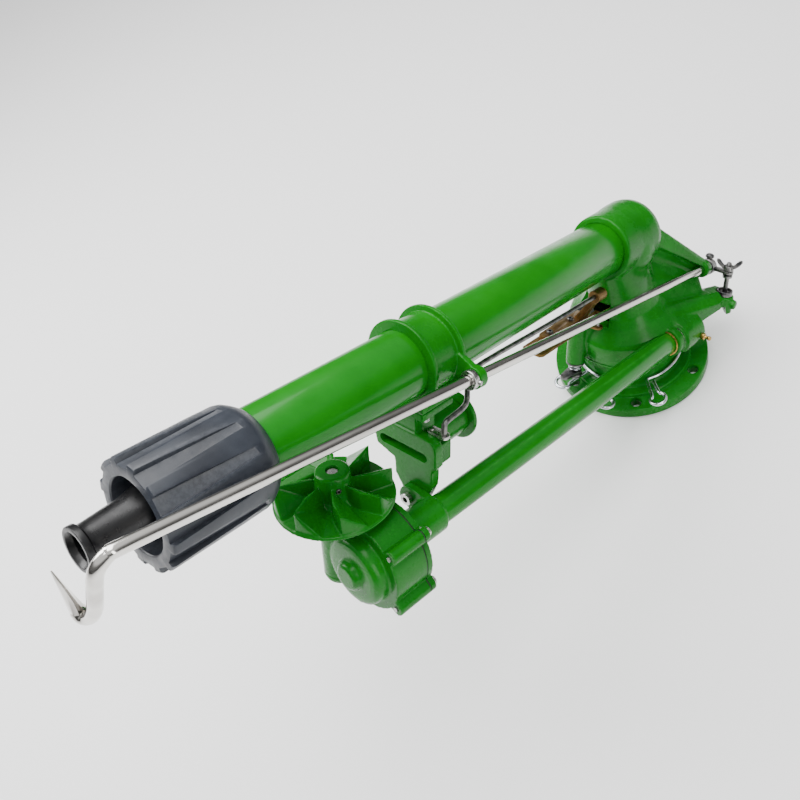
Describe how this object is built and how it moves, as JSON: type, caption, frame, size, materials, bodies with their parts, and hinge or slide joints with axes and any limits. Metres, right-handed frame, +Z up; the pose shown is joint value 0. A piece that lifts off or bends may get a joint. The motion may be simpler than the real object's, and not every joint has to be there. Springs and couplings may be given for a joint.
{
  "type": "large impact sprinkler",
  "caption": "Flanged swivelling sprinkler gun with a long inclined barrel, a tapered nozzle, a hooked jet-breaker rod and a side turbine that turns it through worm gears between wire stops.",
  "frame": {"origin": "centre of the inlet flange's underside, on the swivel axis", "axes": "+Z up along the swivel axis; the barrel points along -Y and rises 23 degrees; the drive tube and the jet-breaker rod are on the +X side"},
  "size_m": [0.1975, 0.7301, 0.4805],
  "materials": {
    "green_paint": "glossy green enamel over cast aluminium",
    "grey_plastic": "moulded grey plastic",
    "black_plastic": "moulded black plastic",
    "polished_steel": "polished stainless steel",
    "dark_steel": "dark plated steel",
    "zinc_wire": "bright zinc-plated wire",
    "yellow_zinc": "yellow zinc-plated steel",
    "brass": "turned brass",
    "bronze": "bearing bronze",
    "rubber": "black rubber"
  },
  "bodies": {
    "base": {"base_flange": "green_paint", "worm_ring": "bronze", "lower_thrust_washer": "bronze", "upper_thrust_washer": "bronze"},
    "gun": {"swivel_body": "green_paint", "case_cover": "green_paint", "swivel_bush": "bronze", "swivel_seal": "rubber", "barrel": "green_paint", "flow_straightener": "grey_plastic", "barrel_clamp": "green_paint", "nozzle_nut": "grey_plastic", "nozzle": "black_plastic", "nozzle_seal": "rubber", "jet_bracket": "green_paint", "bracket_bolt_left": "polished_steel", "bracket_bolt_right": "polished_steel", "drum_cap": "green_paint", "gear_case_rear": "green_paint", "case_gasket": "rubber", "gear_case_front": "green_paint", "gear_case_screw_1": "polished_steel", "gear_case_screw_2": "polished_steel", "gear_case_screw_3": "polished_steel", "gear_case_screw_4": "polished_steel", "bracket_screw": "polished_steel", "turbine_bush": "bronze", "bottom_plug": "green_paint", "drive_tube": "green_paint", "cover_bush": "bronze", "nose_bush": "bronze", "tunnel_bush": "bronze", "tunnel_ring": "brass", "front_grease_nipple": "brass", "rear_grease_nipple": "brass", "trip_washer": "dark_steel", "plunger_cup": "dark_steel"},
    "turbine": {"turbine_wheel": "green_paint", "turbine_shaft": "polished_steel", "hub_screw": "dark_steel"},
    "drive": {"drive_shaft": "polished_steel", "worm_wheel": "bronze", "base_worm": "polished_steel"},
    "trip": {"trip_spindle": "dark_steel", "crank_plate": "yellow_zinc", "trip_spring": "zinc_wire"},
    "link": {"link_plates": "yellow_zinc", "link_block": "yellow_zinc", "shift_rod": "polished_steel", "link_screw_rear": "dark_steel", "link_screw_front": "dark_steel"},
    "deflector": {"deflector": "polished_steel"},
    "breaker": {"jet_breaker_rod": "polished_steel", "rod_collar": "polished_steel", "rod_clamp": "dark_steel", "clamp_knob": "dark_steel"},
    "plunger": {"plunger": "dark_steel"},
    "wing_nut": {"wing_nut": "dark_steel"},
    "stop_a": {"stop_clip_a": "zinc_wire"},
    "stop_b": {"stop_clip_b": "zinc_wire"}
  },
  "joints": [
    {"name": "swivel", "type": "hinge", "parent": "base", "child": "gun", "pos_m": [0, 0, 0.07], "axis": [0, 0, 1], "continuous": true},
    {"name": "drive_spin", "type": "hinge", "parent": "gun", "child": "drive", "pos_m": [0.066, -0.00455, 0.07357], "axis": [-0.0651, -0.9335, 0.3527], "continuous": true},
    {"name": "turbine_spin", "type": "hinge", "parent": "gun", "child": "turbine", "pos_m": [-0.00019, -0.45048, 0.24205], "axis": [0, 0.3534, 0.9355], "continuous": true},
    {"name": "trip_swing", "type": "hinge", "parent": "gun", "child": "trip", "pos_m": [-0.026, -0.01565, 0.20864], "axis": [0, 0.3907, 0.9205], "range_deg": [-6.6, 6.6]},
    {"name": "link_slide", "type": "slide", "parent": "gun", "child": "link", "axis": [0, -0.9205, 0.3907], "range_m": [-0.00295, 0.00295]},
    {"name": "deflector_swing", "type": "hinge", "parent": "gun", "child": "deflector", "pos_m": [0.0225, -0.31021, 0.33368], "axis": [0, 0.3907, 0.9205], "range_deg": [-12.2, 12.2]},
    {"name": "breaker_swing", "type": "hinge", "parent": "gun", "child": "breaker", "pos_m": [0.0602, 0.10306, 0.09416], "axis": [-0.0183, -0.8719, 0.4894], "range_deg": [-8, 8]},
    {"name": "plunger_slide", "type": "slide", "parent": "gun", "child": "plunger", "axis": [0, 0.3907, 0.9205], "range_m": [-0.0037, 0.0037]},
    {"name": "wing_nut_turn", "type": "hinge", "parent": "plunger", "child": "wing_nut", "pos_m": [0.08613, 0.09959, 0.09611], "axis": [0, 0.3907, 0.9205], "continuous": true},
    {"name": "stop_a_turn", "type": "hinge", "parent": "base", "child": "stop_a", "pos_m": [0, 0, 0.029], "axis": [0, 0, 1], "range_deg": [-20, 20]},
    {"name": "stop_b_turn", "type": "hinge", "parent": "base", "child": "stop_b", "pos_m": [0, 0, 0.0244], "axis": [0, 0, 1], "range_deg": [-20, 20]}
  ],
  "couplings": [
    {"joint": "drive_spin", "follows": "swivel", "ratio": -30},
    {"joint": "turbine_spin", "follows": "swivel", "ratio": -450},
    {"joint": "trip_swing", "follows": "link_slide", "rad_per_m": -38.462},
    {"joint": "deflector_swing", "follows": "link_slide", "rad_per_m": -71.429},
    {"joint": "plunger_slide", "follows": "breaker_swing", "m_per_rad": 0.026}
  ]
}
